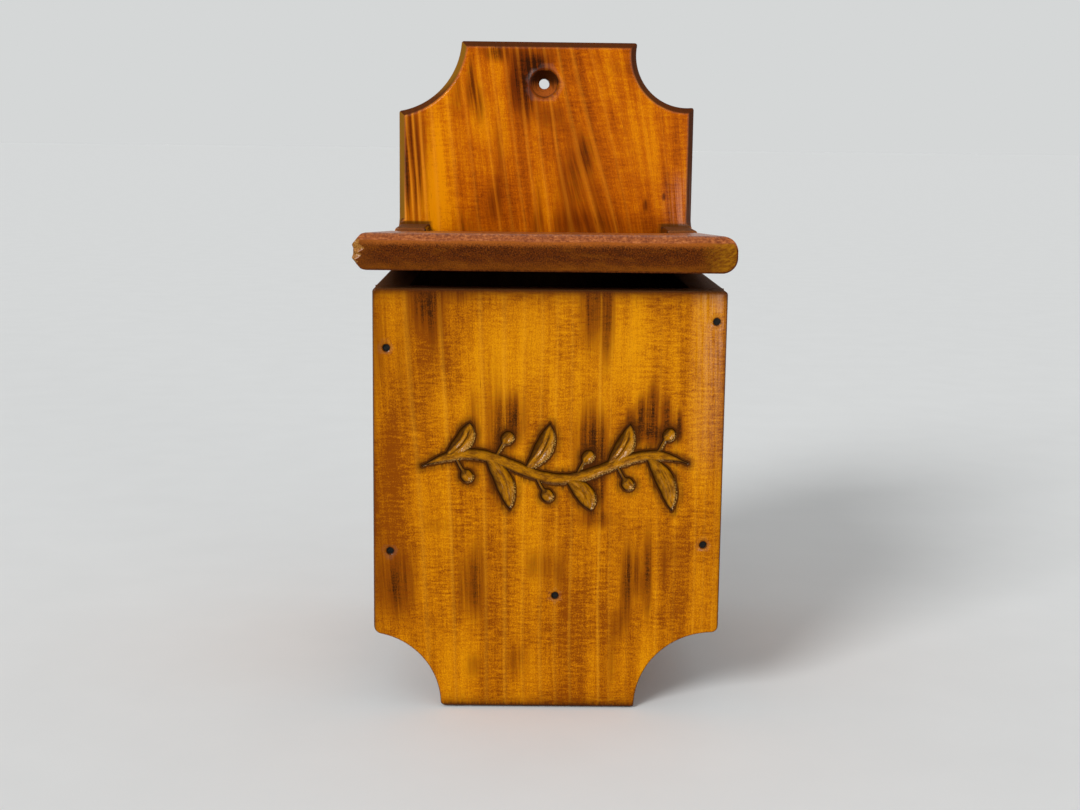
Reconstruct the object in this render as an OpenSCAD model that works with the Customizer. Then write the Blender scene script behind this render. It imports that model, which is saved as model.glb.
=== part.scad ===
// Wall-hung wooden salt box with a hinged lid. Millimetres, +Z up, the front faces -Y.
// The origin is on the axis of the hanging hole, in the plane of the wall.

/* [Boards] */
// Thickness of the box's boards
board_t = 19; // [16:0.5:22]
// Width of the front panel and of the back board
box_w = 184; // [170:1:210]
// Depth of a side panel, from the front panel to the back board
side_d = 170; // [150:1:200]
// Height of a side panel, from its foot to the rim
side_h = 172.5; // [150:0.5:200]

/* [Front panel] */
// How far the front panel hangs below the foot of the box
apron_h = 52.5; // [48:0.5:70]
// Width of the bevel round the face of the front panel
front_bevel = 1.5; // [0.5:0.1:3]
// Left scallop, measured along the bottom edge
front_left_w = 35.6; // [28:0.1:45]
// Left scallop, measured up the side
front_left_h = 40.6; // [34:0.1:46]
// Radius of the left scallop
front_left_r = 39.8; // [34:0.1:60]
// Right scallop, measured along the bottom edge
front_right_w = 44.4; // [34:0.1:50]
// Right scallop, measured up the side
front_right_h = 41.9; // [34:0.1:46]
// Radius of the right scallop
front_right_r = 41.3; // [36:0.1:60]

/* [Back board] */
// How far the back board stands above the rim
back_rise = 136; // [120:1:160]
// Width of the bevel round the face of the back board
back_bevel = 3; // [1:0.1:4]
// Left scallop, measured along the top edge
back_left_w = 38.8; // [28:0.1:48]
// Left scallop, measured down the side
back_left_h = 43.1; // [34:0.1:50]
// Radius of the left scallop
back_left_r = 46.2; // [36:0.1:60]
// Right scallop, measured along the top edge
back_right_w = 36; // [28:0.1:48]
// Right scallop, measured down the side
back_right_h = 39; // [30:0.1:44]
// Radius of the right scallop
back_right_r = 32.3; // [32:0.1:60]

/* [Hanging hole] */
// Distance of the hole from the top edge of the back board
hole_drop = 25.4; // [20:0.1:35]
// How far the hole sits left of the middle
hole_off = 1.7; // [0:0.1:4]
// Diameter of the through hole
hole_d = 6.5; // [4:0.1:8]
// Diameter of the countersink at the face
sink_d = 16.5; // [12:0.1:20]
// Depth of the countersink
sink_depth = 5; // [3:0.1:8]

/* [Ears] */
// How far the rear corners of the side panels stand above the rim
ear_rise = 23; // [20:0.5:30]
// Depth of an ear, measured from the back board
ear_d = 38; // [30:0.5:45]

/* [Lid] */
// Thickness of the lid
lid_t = 19; // [16:0.5:20]
// Overhang of the lid past the face of the front panel
lid_front = 12; // [6:0.5:25]
// Overhang of the lid past the left side
lid_left = 9.4; // [2:0.1:15]
// Overhang of the lid past the right side
lid_right = 3; // [2:0.1:15]
// Radius of the rounded left and right edges
end_round = 8; // [3:0.1:8]
// Radius of the rounded upper front edge
front_round = 5; // [2:0.1:8]
// Angle at which the tongue meets the back board and stops the lid
lid_ajar = 3; // [0:0.1:6]
// Gap between the rim and the lid, if the lid were flat
rim_gap = 0.7; // [0.4:0.1:2]
// Gap on each side of the tongue, between the ears
tongue_gap = 0.8; // [0.4:0.1:2]
// Gap between the tongue and the back board at rest
stop_gap = 0.3; // [0.2:0.05:0.5]
// Running gap of the tongue's rounded edge along the back board
swing_gap = 0.5; // [0.3:0.05:1]
// Running gap of the lid's shoulders past the ears
shoulder_gap = 0.9; // [0.5:0.1:3]

/* [Hinge nails] */
// Distance of the hinge line from the back board
hinge_back = 17; // [14:0.5:20]
// Diameter of a hinge nail
hinge_d = 3; // [2.5:0.1:4]
// Length of a hinge nail
hinge_len = 45; // [35:1:60]
// Running clearance of a hinge nail in the lid
hinge_fit = 0.08; // [0.03:0.01:0.1]

/* [Nails] */
// Diameter of a finishing nail
nail_d = 2.5; // [2:0.1:3]
// Length of a finishing nail
nail_len = 50; // [40:1:60]
// Diameter of a nail's head
head_d = 3.6; // [3.2:0.1:4.5]
// Thickness of a nail's head
head_t = 1.2; // [0.8:0.1:1.6]
// Depth that the nails are set below the wood
set_depth = 1.3; // [0.5:0.1:2]
// Clearance round a nail in its own hole
nail_fit = 0.02; // [0.01:0.01:0.05]
// Upper left front nail, below the rim
nail_ul = 30.9; // [12:0.1:60]
// Lower left front nail, above the foot
nail_ll = 33.3; // [28:0.1:60]
// Upper right front nail, below the rim
nail_ur = 15.6; // [12:0.1:60]
// Lower right front nail, above the foot
nail_lr = 37.9; // [28:0.1:60]
// Front nail into the bottom board, right of the middle
nail_bottom = 4.4; // [-20:0.1:20]
// Upper back nails, below the rim
back_nail_drop = 28; // [15:1:50]
// Lower back nails, above the foot
back_nail_rise = 45; // [28:1:70]
// Side nails into the bottom board, from the ends of the side panel
side_nail_in = 35; // [25:1:60]

/* [Hidden] */
$fn = 96;
// How far a cutter runs past the face it opens
over = 1;
// Sideways wander of the front nails from the middle of a side panel's edge
wander_ul = 2.4;
wander_ll = 0.7;
wander_ur = 4;
wander_lr = 0.1;
half_w = box_w / 2;
rim_z = hole_drop - back_rise;
foot_z = rim_z - side_h;
top_z = rim_z + back_rise;
apron_z = foot_z - apron_h;
back_y = -board_t;
front_y = back_y - side_d;
face_y = front_y - board_t;
hinge_y = back_y - hinge_back;
hinge_z = rim_z + rim_gap + lid_t / 2;
inner_w = box_w - 2 * board_t;
// The lid turns about its own origin, so its measures are taken from the hinge line
lid_reach = hinge_y - face_y + lid_front;
ear_front = ear_d - hinge_back;
ear_over = rim_z + ear_rise - hinge_z;
shoulder = sqrt(ear_front * ear_front + ear_over * ear_over) + shoulder_gap;
tongue_r = hinge_back - swing_gap;
tongue_back = (hinge_back - stop_gap - sin(lid_ajar) * lid_t / 2) / cos(lid_ajar);
back_wood = [0.72, 0.36, 0.07];
side_wood = [0.68, 0.36, 0.10];
front_wood = [0.80, 0.47, 0.09];
bottom_wood = [0.70, 0.42, 0.14];
lid_wood = [0.36, 0.17, 0.06];
steel = [0.16, 0.15, 0.14];

// Centre of a scallop, seen from the board's corner: it crosses the end w along and the side h along
function scallop_centre(w, h, r) =
    let (chord = sqrt(w * w + h * h), back_off = sqrt(r * r - chord * chord / 4))
    [w / 2 - back_off * h / chord, h / 2 - back_off * w / chord];

// Everything is drawn about the middle of the box, which lies right of the hanging hole
module from_middle() {
    translate([hole_off, 0, 0])
        children();
}

// A cutter for one scalloped corner of a board whose face is at y, with its bevel
module scallop(side, end_z, up, y, w, h, r, bevel) {
    c = scallop_centre(w, h, r);
    translate([side * (half_w - c[0]), y, end_z + up * c[1]])
        rotate([-90, 0, 0]) {
            translate([0, 0, -over])
                cylinder(h = board_t + 2 * over, r = r);
            translate([0, 0, -over])
                cylinder(h = bevel + over, r1 = r + bevel + over, r2 = r);
        }
}

// The upper edge of a board's face, from the left side to the right
module bevel_top(y, z, bevel) {
    translate([0, y, z])
        rotate([45, 0, 0])
            cube([box_w + 2 * over, sqrt(2) * bevel, sqrt(2) * bevel], center = true);
}

// The left and right edges of a board's face
module bevel_sides(y, low, high, bevel) {
    for (side = [-1, 1])
        translate([side * half_w, y, (low + high) / 2])
            rotate([0, 0, 45])
                cube([sqrt(2) * bevel, sqrt(2) * bevel, high - low + 2 * over], center = true);
}

// A nail driven along +Y, with its head's face at the origin
module nail(length, shank, head, thick, fit) {
    rotate([-90, 0, 0]) {
        cylinder(h = thick + fit, d = head + 2 * fit);
        cylinder(h = length + fit, d = shank + 2 * fit);
    }
}

// The hole of a nail that is set below the wood
module nail_hole() {
    nail(nail_len, nail_d, head_d, head_t, nail_fit);
    rotate([90, 0, 0])
        cylinder(h = set_depth + over, d = head_d + 2 * nail_fit);
}

// Places of the five front nails, with their heads set below the front panel's face
module at_front_nails() {
    left_x = board_t / 2 - half_w;
    for (place = [
        [left_x - wander_ul, rim_z - nail_ul],
        [left_x - wander_ll, foot_z + nail_ll],
        [wander_ur - left_x, rim_z - nail_ur],
        [wander_lr - left_x, foot_z + nail_lr],
        [nail_bottom, foot_z + board_t / 2]
    ])
        translate([place[0], face_y + set_depth, place[1]])
            children();
}

// Places of the five back nails, driven towards the front
module at_back_nails() {
    side_x = half_w - board_t / 2;
    for (place = [
        [-side_x, rim_z - back_nail_drop],
        [side_x, rim_z - back_nail_drop],
        [-side_x, foot_z + back_nail_rise],
        [side_x, foot_z + back_nail_rise],
        [0, foot_z + board_t / 2]
    ])
        translate([place[0], -set_depth, place[1]])
            rotate([0, 0, 180])
                children();
}

// Places of the two nails through each side panel into the bottom board
module at_side_nails() {
    for (side = [-1, 1])
        for (y = [front_y + side_nail_in, back_y - side_nail_in])
            translate([side * (half_w - set_depth), y, foot_z + board_t / 2])
                rotate([0, 0, side * 90])
                    children();
}

// Places of the two hinge nails, with their heads flush in the ears
module at_hinge_nail(side) {
    translate([side * half_w, hinge_y, hinge_z])
        rotate([0, 0, side * 90])
            children();
}

module hinge_nail(fit) {
    nail(hinge_len, hinge_d, hinge_d + head_t, head_t, fit);
}

module back_board() {
    color(back_wood)
        difference() {
            from_middle()
                difference() {
                    translate([-half_w, back_y, foot_z])
                        cube([box_w, board_t, top_z - foot_z]);
                    scallop(-1, top_z, -1, back_y, back_left_w, back_left_h, back_left_r, back_bevel);
                    scallop(1, top_z, -1, back_y, back_right_w, back_right_h, back_right_r, back_bevel);
                    bevel_top(back_y, top_z, back_bevel);
                    bevel_sides(back_y, rim_z + ear_rise, top_z, back_bevel);
                    at_back_nails()
                        nail_hole();
                }
            translate([0, over, 0])
                rotate([90, 0, 0])
                    cylinder(h = board_t + 2 * over, d = hole_d);
            translate([0, back_y, 0])
                rotate([-90, 0, 0])
                    cylinder(h = sink_depth, d1 = sink_d, d2 = hole_d);
        }
}

module side_panel(side) {
    inner_x = side * (half_w - board_t / 2);
    color(side_wood)
        from_middle()
            difference() {
                union() {
                    translate([inner_x, (front_y + back_y) / 2, (foot_z + rim_z) / 2])
                        cube([board_t, side_d, side_h], center = true);
                    translate([inner_x, back_y - ear_d / 2, rim_z + (ear_rise - board_t) / 2])
                        cube([board_t, ear_d, ear_rise + board_t], center = true);
                }
                at_front_nails()
                    nail_hole();
                at_back_nails()
                    nail_hole();
                at_side_nails()
                    nail_hole();
                at_hinge_nail(side)
                    hinge_nail(nail_fit);
            }
}

module left_side_panel() {
    side_panel(-1);
}

module right_side_panel() {
    side_panel(1);
}

module front_panel() {
    color(front_wood)
        from_middle()
            difference() {
                translate([-half_w, face_y, apron_z])
                    cube([box_w, board_t, rim_z - apron_z]);
                scallop(-1, apron_z, 1, face_y, front_left_w, front_left_h, front_left_r, front_bevel);
                scallop(1, apron_z, 1, face_y, front_right_w, front_right_h, front_right_r, front_bevel);
                bevel_top(face_y, rim_z, front_bevel);
                bevel_top(face_y, apron_z, front_bevel);
                bevel_sides(face_y, apron_z, rim_z, front_bevel);
                at_front_nails()
                    nail_hole();
            }
}

module bottom_board() {
    color(bottom_wood)
        from_middle()
            difference() {
                translate([-inner_w / 2, front_y, foot_z])
                    cube([inner_w, side_d, board_t]);
                at_front_nails()
                    nail_hole();
                at_back_nails()
                    nail_hole();
                at_side_nails()
                    nail_hole();
            }
}

// The lid's section across its width, with rounded left and right edges
module lid_section() {
    low_x = -half_w - lid_left;
    high_x = half_w + lid_right;
    translate([low_x + end_round, -lid_t / 2])
        square([high_x - low_x - 2 * end_round, lid_t]);
    translate([low_x, end_round - lid_t / 2])
        square([high_x - low_x, lid_t - 2 * end_round]);
    for (x = [low_x + end_round, high_x - end_round])
        for (z = [end_round - lid_t / 2, lid_t / 2 - end_round])
            translate([x, z])
                circle(r = end_round);
}

// A cutter that rounds the lid's upper front edge
module front_edge() {
    depth = front_round + over;
    length = 2 * box_w;
    difference() {
        translate([-length / 2, -lid_reach - over, lid_t / 2 - front_round])
            cube([length, depth, depth]);
        translate([-length / 2 - over, front_round - lid_reach, lid_t / 2 - front_round])
            rotate([0, 90, 0])
                cylinder(h = length + 2 * over, r = front_round);
    }
}

// The tongue's section: its lower back edge is square and its upper one is rounded about the hinge
module tongue_section() {
    difference() {
        translate([-shoulder - over, -lid_t / 2])
            square([shoulder + over + tongue_back, lid_t]);
        difference() {
            square([hinge_back + over, lid_t]);
            circle(r = tongue_r);
        }
    }
}

module lid() {
    tongue_w = inner_w - 2 * tongue_gap;
    color(lid_wood)
        difference() {
            from_middle()
                translate([0, hinge_y, hinge_z])
                    rotate([-lid_ajar, 0, 0]) {
                        difference() {
                            translate([0, -shoulder, 0])
                                rotate([90, 0, 0])
                                    linear_extrude(lid_reach - shoulder)
                                        lid_section();
                            front_edge();
                        }
                        translate([-tongue_w / 2, 0, 0])
                            rotate([90, 0, 90])
                                linear_extrude(tongue_w)
                                    tongue_section();
                    }
            from_middle() {
                at_hinge_nail(-1)
                    hinge_nail(hinge_fit);
                at_hinge_nail(1)
                    hinge_nail(hinge_fit);
            }
        }
}

module left_hinge_nail() {
    color(steel)
        from_middle()
            at_hinge_nail(-1)
                hinge_nail(0);
}

module right_hinge_nail() {
    color(steel)
        from_middle()
            at_hinge_nail(1)
                hinge_nail(0);
}

module front_nails() {
    color(steel)
        from_middle()
            at_front_nails()
                nail(nail_len, nail_d, head_d, head_t, 0);
}

module back_nails() {
    color(steel)
        from_middle()
            at_back_nails()
                nail(nail_len, nail_d, head_d, head_t, 0);
}

module side_nails() {
    color(steel)
        from_middle()
            at_side_nails()
                nail(nail_len, nail_d, head_d, head_t, 0);
}

back_board();
left_side_panel();
right_side_panel();
front_panel();
bottom_board();
lid();
left_hinge_nail();
right_hinge_nail();
front_nails();
back_nails();
side_nails();
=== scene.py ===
"""Wall-hung salt box: the looks of its boards, carving, lid and nails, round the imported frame.

Lengths are in millimetres in the row frame and become metres where a mesh is made. The camera, the
floor and the lamps are placed in metres.
"""

import math

import bmesh
import bpy
import numpy as np
from mathutils import Matrix, Vector
from mathutils.geometry import delaunay_2d_cdt


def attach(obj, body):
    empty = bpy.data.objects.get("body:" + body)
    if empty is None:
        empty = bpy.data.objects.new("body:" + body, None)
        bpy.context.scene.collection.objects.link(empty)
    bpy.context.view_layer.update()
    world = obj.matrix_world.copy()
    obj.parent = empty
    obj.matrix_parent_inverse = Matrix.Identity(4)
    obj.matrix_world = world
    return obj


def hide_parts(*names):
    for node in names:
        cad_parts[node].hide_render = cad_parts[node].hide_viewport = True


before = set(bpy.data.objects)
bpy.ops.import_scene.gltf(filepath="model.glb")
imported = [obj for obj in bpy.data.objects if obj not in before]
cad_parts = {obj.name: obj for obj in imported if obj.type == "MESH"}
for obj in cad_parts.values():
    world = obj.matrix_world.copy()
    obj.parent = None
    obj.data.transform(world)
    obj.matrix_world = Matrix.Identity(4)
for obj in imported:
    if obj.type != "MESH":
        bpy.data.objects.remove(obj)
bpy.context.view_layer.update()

MM = 0.001

# Boards, as the part's source has them
BOARD = 19
HALF_W = 92
MIDDLE_X = 1.7
RIM_Z = -110.6
FOOT_Z = -283.1
TOP_Z = 25.4
APRON_Z = -335.6
BACK_Y = -19
FRONT_Y = -189
FACE_Y = -208
EAR_RISE = 23
EAR_TOP = RIM_Z + EAR_RISE
EAR_DEPTH = 38
BEVEL = 4.2

# Scallops: width along the end, height along the side, radius
FRONT_LEFT_SCALLOP = (35.6, 40.6, 39.8)
FRONT_RIGHT_SCALLOP = (44.4, 41.9, 41.3)
BACK_LEFT_SCALLOP = (38.8, 43.1, 46.2)
BACK_RIGHT_SCALLOP = (36, 39, 32.3)

# Points along a scallop, the outlines' corner radii, and the points along each of their sides
SCALLOP_POINTS = 44
FRONT_CORNERS = (5, 3, 1.2, 4, 2, 2)
FRONT_COUNTS = (60, 56, 50, 56, 60, 80)
BACK_CORNERS = (1.6, 1.6, 1.8, 1.6, 0.6, 0.6)
BACK_COUNTS = (90, 60, 50, 60, 90, 40)
SIDE_CORNERS = (0.4, 1.2, 1.6, 0.6, 0.4, 0.4)
SIDE_COUNTS = (40, 60, 16, 24, 50, 50)

# Lid, measured from the hinge line
HINGE_Y = -36
HINGE_Z = -100.4
LID_REACH = 184
LID_LEFT = -HALF_W - 9.4
LID_RIGHT = HALF_W + 3
LID_AJAR = math.radians(3)
LID_FRONT_Z = HINGE_Z + LID_REACH * math.sin(LID_AJAR)
END_ROUND = 8
FRONT_ROUND = 5
SHOULDER = 25.53
TONGUE_HALF = 72.2
TONGUE_ROUND = 16.5
TONGUE_BACK = 16.2
LID_EASE = 1.3
LID_WARP = 1.1
CHIP_REACH = 11
CHIP_STEP = 0.7
END_STEPS = 26

# Where the lid's section is set: distances behind its front face, then places along the tongue
LID_STATIONS = (0, 0.1, 0.3, 0.6, 1.0, 1.4, 2, 2.8, 3.6, 4.4, 5, 5.6, 7, 10, 16, 25)
LID_STATIONS += (40, 60, 80, 100, 120, 140, LID_REACH - SHOULDER)
TONGUE_STATIONS = (-18, -9, 0, 7, 13.4, 14.2, 15, 15.7, TONGUE_BACK)

# Nails
HEAD_R = 1.8
HINGE_HEAD_R = 2.1
SET_DEPTH = 1.3


# Outlines

def scallop(corner, inward, upward, size, inset):
    """Points of a scallop from a board's side to its end, with the material's edge moved in by inset."""
    w, h, r = size
    chord = math.hypot(w, h)
    off = math.sqrt(r * r - chord * chord / 4)
    cx = w / 2 - off * h / chord
    cz = h / 2 - off * w / chord
    r += inset
    side = (inset, cz + math.sqrt(r * r - (inset - cx) ** 2))
    end = (cx + math.sqrt(r * r - (inset - cz) ** 2), inset)
    start_angle = math.atan2(side[1] - cz, side[0] - cx)
    end_angle = math.atan2(end[1] - cz, end[0] - cx)
    angles = np.linspace(start_angle, end_angle, SCALLOP_POINTS)
    return np.column_stack([
        corner[0] + inward * (cx + r * np.cos(angles)),
        corner[1] + upward * (cz + r * np.sin(angles)),
    ])


def stretch(points, start, end, count):
    """The same path with both its ends cut short, as evenly spaced points."""
    along = np.concatenate([[0], np.cumsum(np.linalg.norm(np.diff(points, axis=0), axis=1))])
    at = np.linspace(start, along[-1] - end, count)
    return np.column_stack([np.interp(at, along, points[:, k]) for k in (0, 1)])


def rounded(sides, radii, inset, counts, corner_count=7):
    """A closed outline of sides joined end to end; radii round the corner after each side."""
    sides = [np.asarray(side, float) for side in sides]
    cuts = []
    for k, side in enumerate(sides):
        after = sides[(k + 1) % len(sides)]
        ahead = side[-1] - side[-2]
        onward = after[1] - after[0]
        cross = ahead[0] * onward[1] - ahead[1] * onward[0]
        turn = abs(math.atan2(cross, float(ahead @ onward)))
        cuts.append(max(radii[k] - inset, 0.12) * math.tan(turn / 2))
    trimmed = [stretch(side, cuts[k - 1], cuts[k], counts[k]) for k, side in enumerate(sides)]
    loop = []
    for k, side in enumerate(sides):
        loop.append(trimmed[k])
        start, corner, end = trimmed[k][-1], side[-1], trimmed[(k + 1) % len(sides)][0]
        t = np.linspace(0, 1, corner_count + 2)[1:-1, None]
        loop.append((1 - t) ** 2 * start + 2 * t * (1 - t) * corner + t ** 2 * end)
    return np.vstack(loop)


def scalloped(inset, end_z, plain_z, left_size, right_size, radii, counts):
    """Outline of a board with a scallop at each corner of the end at end_z and a plain end at plain_z."""
    inward = 1 if plain_z > end_z else -1
    left = scallop((-HALF_W, end_z), 1, inward, left_size, inset)
    right = scallop((HALF_W, end_z), -1, inward, right_size, inset)[::-1]
    left_x, right_x, plain = -HALF_W + inset, HALF_W - inset, plain_z - inward * inset
    sides = [
        [(left_x, plain), left[0]],
        left,
        [left[-1], right[0]],
        right,
        [right[-1], (right_x, plain)],
        [(right_x, plain), (left_x, plain)],
    ]
    return rounded(sides, radii, inset, counts)


def front_outline(inset):
    return scalloped(
        inset, APRON_Z, RIM_Z, FRONT_LEFT_SCALLOP, FRONT_RIGHT_SCALLOP, FRONT_CORNERS, FRONT_COUNTS,
    )


def back_outline(inset):
    return scalloped(inset, TOP_Z, FOOT_Z, BACK_LEFT_SCALLOP, BACK_RIGHT_SCALLOP, BACK_CORNERS, BACK_COUNTS)


def side_outline(inset):
    """Outline of a side panel, with y across and z up."""
    front, rear, ear = FRONT_Y + inset, BACK_Y - inset, BACK_Y - EAR_DEPTH + inset
    foot, rim, ear_top = FOOT_Z + inset, RIM_Z - inset, EAR_TOP - inset
    corners = [(front, foot), (front, rim), (ear, rim), (ear, ear_top), (rear, ear_top), (rear, foot)]
    sides = [(corners[k], corners[(k + 1) % 6]) for k in range(6)]
    return rounded(sides, SIDE_CORNERS, inset, SIDE_COUNTS, 5)


# Meshes

# Points closer than this, in metres, become one
WELD = 2e-7
# Edges sharper than this stay crisp
SMOOTH_ANGLE = math.radians(35)
# Step of the points spread over a board's face
FACE_STEP = 4.0


def waver(t, seed):
    """A smooth wandering number between about -1 and 1."""
    return (np.sin(t + seed) + 0.6 * np.sin(2.3 * t + 2.1 * seed) + 0.4 * np.sin(4.1 * t + 3.7 * seed)) / 2


def inside(points, loop):
    """Which points lie inside a closed outline."""
    x, z = points[:, 0, None], points[:, 1, None]
    ax, az = loop[None, :, 0], loop[None, :, 1]
    bx, bz = np.roll(ax, -1, 1), np.roll(az, -1, 1)
    crossing = ((az > z) != (bz > z)) & (x < (bx - ax) * (z - az) / (bz - az + 1e-12) + ax)
    return crossing.sum(1) % 2 == 1


def clear_of(points, loop, room):
    """Which points lie at least room away from every vertex of an outline."""
    gaps = (points[:, None, :] - loop[None, :, :]) ** 2
    return gaps.sum(2).min(1) > room * room


def lattice(low, high, step):
    """A grid of points with every other row moved by half a step."""
    rows = np.arange(low[1], high[1], step * 0.866)
    columns = np.arange(low[0], high[0], step)
    return np.array([(x + step / 2 * (k % 2), z) for k, z in enumerate(rows) for x in columns])


class Shell:
    """The vertices and faces of one piece, with tones that mark its edges and its grooves."""

    def __init__(self):
        self.points, self.faces = [], []
        self.tones = {"edge": [], "groove": [], "across": [], "along": []}

    def add(self, points, edge=0.0, groove=-1.0, across=0.0, along=0.0):
        first = len(self.points)
        self.points += [tuple(p) for p in points]
        count = len(self.points) - first
        for label, values in (("edge", edge), ("groove", groove), ("across", across), ("along", along)):
            self.tones[label] += list(np.broadcast_to(values, count))
        return list(range(first, first + count))

    def join(self, a, b):
        """Faces between two closed rings with the same count; they may share vertices."""
        for k in range(len(a)):
            n = (k + 1) % len(a)
            face = []
            for corner in (a[k], a[n], b[n], b[k]):
                if corner not in face:
                    face.append(corner)
            if len(face) > 2:
                self.faces.append(face)

    def loft(self, rings):
        """Faces from each ring to the next."""
        for a, b in zip(rings, rings[1:]):
            self.join(a, b)

    def fill(self, flat, loops, extra):
        """Faces over a flat area bounded by rings, the first outermost, through the extra vertices."""
        ids = [v for loop in loops for v in loop] + list(extra)
        edges, start = [], 0
        for loop in loops:
            edges += [(start + k, start + (k + 1) % len(loop)) for k in range(len(loop))]
            start += len(loop)
        made = delaunay_2d_cdt([Vector(flat[v]) for v in ids], edges, [], 2, 1e-7)
        ring_of = {v: k for k, loop in enumerate(loops[1:]) for v in loop}
        shapes = [np.array([flat[v] for v in loop]) for loop in loops[1:]]
        for face in made[2]:
            corners = [ids[made[3][v][0]] for v in face]
            rings = {ring_of.get(v, -1) for v in corners}
            if len(rings) == 1 and -1 not in rings:
                middle = np.mean([flat[v] for v in corners], axis=0)
                if inside(middle[None], shapes[rings.pop()])[0]:
                    continue
            self.faces.append(corners)

    def build(self, name, place):
        """The piece as an object; place turns a point into its position in millimetres."""
        mesh = bpy.data.meshes.new(name)
        at = np.array([place(*p) for p in self.points]) * MM
        mesh.from_pydata(at.tolist(), [], self.faces)
        for label, values in self.tones.items():
            tone = mesh.attributes.new(label, "FLOAT", "POINT")
            tone.data.foreach_set("value", np.array(values, np.float32))
        mesh.validate()
        work = bmesh.new()
        work.from_mesh(mesh)
        bmesh.ops.remove_doubles(work, verts=work.verts, dist=WELD)
        bmesh.ops.dissolve_degenerate(work, edges=work.edges, dist=WELD)
        bmesh.ops.recalc_face_normals(work, faces=work.faces)
        work.to_mesh(mesh)
        work.free()
        mesh.shade_smooth()
        mesh.set_sharp_from_angle(angle=SMOOTH_ANGLE)
        piece = bpy.data.objects.new(name, mesh)
        bpy.context.scene.collection.objects.link(piece)
        return piece


def quarter(radius, steps):
    """A rounded edge as (inset, depth) pairs, from the face to the side."""
    angles = np.linspace(0, math.pi / 2, steps)
    return [(radius * (1 - math.sin(a)), radius * (1 - math.cos(a))) for a in angles]


def chamfer(width, soft=0.7):
    """A flat bevel with softened edges, as (inset, depth) pairs."""
    return [
        (width + soft, 0), (width + 0.3 * soft, 0.06 * soft), (width - 0.3 * soft, 0.42 * soft),
        (width * 0.5, width * 0.52), (0.35 * soft, width - 0.25 * soft), (0.04 * soft, width + 0.3 * soft),
        (0, width + soft),
    ]


def hole_ring(centre, radius, rough, seed, count=40):
    angles = np.arange(count) * 2 * math.pi / count
    r = radius * (1 + rough * waver(3 * angles, seed))
    return np.column_stack([centre[0] + r * np.cos(angles), centre[1] + r * np.sin(angles)])


def board(name, outline, front, back, place, holes=(), back_holes=(), ease=None, relief=None, cup=None):
    """A closed board: its face, its eased edges, its back and its holes.

    front and back are edge profiles; ease scales them along the outline; relief gives the extra points,
    depths and groove tones of the face; cup is how far the face falls away at a place.
    A hole is (centre, [(radius, depth), ...], roughness, through).
    """
    shell = Shell()
    rim = outline(0)
    share = ease(rim)[:, None] if ease else np.ones((len(rim), 1))

    def ring(inset, depth, from_back=False):
        flat = rim + (outline(inset) - rim) * share
        deep = depth * share[:, 0]
        if cup and not from_back:
            deep = deep + cup(flat)
        deep = BOARD - deep if from_back else deep
        return np.column_stack([flat, deep])

    def sink(centre, hole_rings, rough, seed, from_back=False):
        """The rings of a hole, from its mouth inwards."""
        made = []
        for k, (radius, depth) in enumerate(hole_rings):
            flat = hole_ring(centre, radius, rough / (1 + k), seed + 0.3 * k)
            deep = np.full(len(flat), float(BOARD - depth if from_back else depth))
            if cup and depth < 1 and not from_back:
                deep += cup(flat)
            edge = 1.0 if from_back else min(1.0, 0.15 + depth)
            made.append(shell.add(np.column_stack([flat, deep]), edge=edge))
        shell.loft(made)
        return made

    deepest = max(depth for _, depth in front)
    rings = [shell.add(ring(i, d), edge=d / deepest) for i, d in front]
    rings += [shell.add(ring(i, d, True), edge=1.0) for i, d in reversed(back)]
    shell.loft(rings)

    front_loops, back_loops = [rings[0]], [rings[-1]]
    for seed, (centre, hole_rings, rough, through) in enumerate(holes):
        made = sink(centre, hole_rings, rough, seed)
        front_loops.append(made[0])
        if through:
            back_loops.append(made[-1])
        else:
            shell.faces.append(made[-1])
    for seed, (centre, hole_rings, rough, _) in enumerate(back_holes):
        made = sink(centre, hole_rings, rough, seed, True)
        back_loops.append(made[0])
        shell.faces.append(made[-1])

    inner = np.array([shell.points[v][:2] for v in rings[0]])
    low, high = inner.min(0), inner.max(0)
    points = lattice(low + 0.3 * FACE_STEP, high, FACE_STEP)
    depths, tones = np.zeros(len(points)), {}
    if relief:
        points, depths, tones = relief(points)
    keep = inside(points, inner) & clear_of(points, inner, 0.9)
    for centre, hole_rings, _, _ in holes:
        keep &= np.linalg.norm(points - np.array(centre), axis=1) > hole_rings[0][0] * 1.15 + 0.5
    if cup:
        depths = depths + cup(points)
    kept_tones = {label: values[keep] for label, values in tones.items()}
    extra = shell.add(np.column_stack([points, depths])[keep], **kept_tones)
    flat = {v: shell.points[v][:2] for v in range(len(shell.points))}
    shell.fill(flat, front_loops, extra)
    shell.fill(flat, back_loops, [])
    return shell.build(name, place)


# Carving on the front panel: a running vine

VINE_X = (-66, 73)
VINE_Z = RIM_Z - 93
VINE_BAND = 30
STEM_WAVE = 6.5
STEM_PACE = 15.4
STEM_HALF = 3.2
STEM_TAPER = 16
LEAF_ROOTS = np.linspace(-55, 51, 6)
LEAF_REACH = 17
LEAF_RISE = 23
LEAF_HALF = 5.2
LEAF_RIDGE = 0.9
BUD_AHEAD = 6
STALK_HALF = 1.25
BUD_SWELL = 2.3
CUT_SLOPE = 0.58
CUT_STEP = 0.55
CUT_REACH = 9
HALO = 5.0


def vine_stem(x):
    """Height of the vine's stem."""
    return VINE_Z + STEM_WAVE * np.sin((x - VINE_X[0]) / STEM_PACE)


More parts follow.
